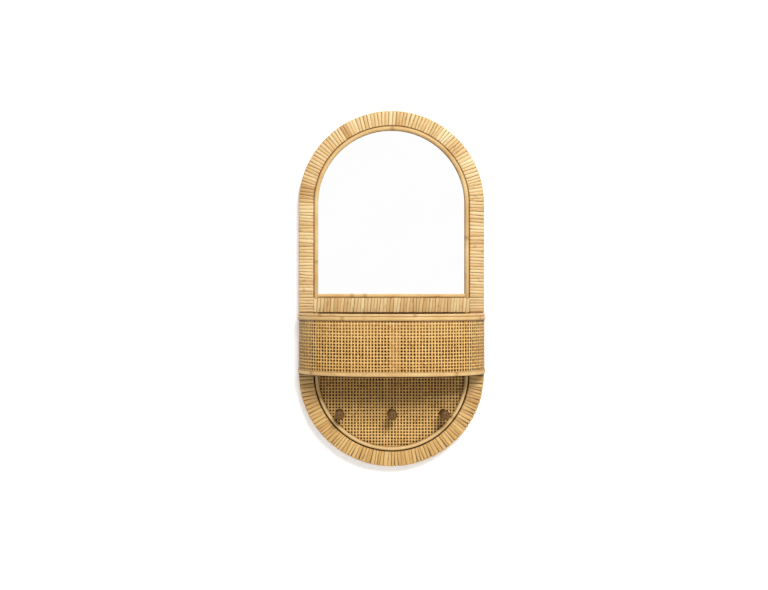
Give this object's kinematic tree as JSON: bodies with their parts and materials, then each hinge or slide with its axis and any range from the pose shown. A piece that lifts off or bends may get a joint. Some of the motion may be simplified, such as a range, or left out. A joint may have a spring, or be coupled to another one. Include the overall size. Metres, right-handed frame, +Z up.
{
  "type": "rattan wall organiser with mirror",
  "caption": "Upright round-ended rattan wall organiser: an arched mirror above a bowed cane pocket, with pegs below it.",
  "frame": {"origin": "middle of the crossbar's back face, on the wall plane", "axes": "+X to the viewer's right, +Y into the wall, +Z up along the frame's height"},
  "size_m": [0.3642, 0.1154, 0.69],
  "materials": {
    "cane_wrap": "flat cane wound edge to edge, satin",
    "rattan_pole": "peeled rattan pole, lightly lacquered",
    "cane_webbing": "open woven cane, satin",
    "frame_wood": "bare wood, sawn and sanded",
    "dowel_wood": "bare fluted beech",
    "plain_board": "fibreboard, bare",
    "stained_board": "thin board stained dark brown",
    "peg_wood": "turned wood, dark stain, satin",
    "mirror_glass": "silvered glass",
    "screw_steel": "zinc-plated, dull",
    "plated_steel": "nickel-plated, pressed"
  },
  "bodies": {
    "organiser": {"upper_arch_core": "frame_wood", "lower_bow_core": "frame_wood", "crossbar_core": "frame_wood", "pocket_front_stave": "frame_wood", "left_end_stave": "frame_wood", "right_end_stave": "frame_wood", "upper_arch_wrap": "cane_wrap", "lower_bow_wrap": "cane_wrap", "crossbar_wrap": "cane_wrap", "left_joint_wrap": "cane_wrap", "right_joint_wrap": "cane_wrap", "arch_trim": "rattan_pole", "mirror_sill_trim": "rattan_pole", "lower_bow_trim": "rattan_pole", "pocket_rim_hoop": "rattan_pole", "pocket_rim_cap": "rattan_pole", "pocket_rim_binding": "rattan_pole", "pocket_base_binding": "rattan_pole", "mirror": "mirror_glass", "mirror_backing": "plain_board", "pocket_floor": "plain_board", "lower_back_board": "stained_board", "lower_webbing": "cane_webbing", "pocket_webbing": "cane_webbing", "peg_left": "peg_wood", "peg_middle": "peg_wood", "peg_right": "peg_wood", "left_upper_bar_dowel": "dowel_wood", "left_lower_bar_dowel": "dowel_wood", "left_butt_dowel": "dowel_wood", "left_pocket_rim_screw": "screw_steel", "left_pocket_floor_screw": "screw_steel", "left_hanger_upper_screw": "screw_steel", "left_hanger_lower_screw": "screw_steel", "backing_brad_left_leg": "screw_steel", "backing_brad_left_arc": "screw_steel", "board_brad_left_leg": "screw_steel", "board_brad_left_arc": "screw_steel", "left_hanger_strap": "plated_steel", "right_upper_bar_dowel": "dowel_wood", "right_lower_bar_dowel": "dowel_wood", "right_butt_dowel": "dowel_wood", "right_pocket_rim_screw": "screw_steel", "right_pocket_floor_screw": "screw_steel", "right_hanger_upper_screw": "screw_steel", "right_hanger_lower_screw": "screw_steel", "backing_brad_right_leg": "screw_steel", "backing_brad_right_arc": "screw_steel", "board_brad_right_leg": "screw_steel", "board_brad_right_arc": "screw_steel", "right_hanger_strap": "plated_steel", "peg_left_screw": "screw_steel", "peg_middle_screw": "screw_steel", "peg_right_screw": "screw_steel"},
    "left_ring": {"left_hanger_ring": "plated_steel"},
    "right_ring": {"right_hanger_ring": "plated_steel"}
  },
  "joints": [
    {"name": "left_ring_hinge", "type": "hinge", "parent": "organiser", "child": "left_ring", "pos_m": [-0.095, -0.0024, 0.235], "axis": [-1, 0, 0], "range_deg": [0, 150]},
    {"name": "right_ring_hinge", "type": "hinge", "parent": "organiser", "child": "right_ring", "pos_m": [0.095, -0.0024, 0.235], "axis": [-1, 0, 0], "range_deg": [0, 150]}
  ]
}
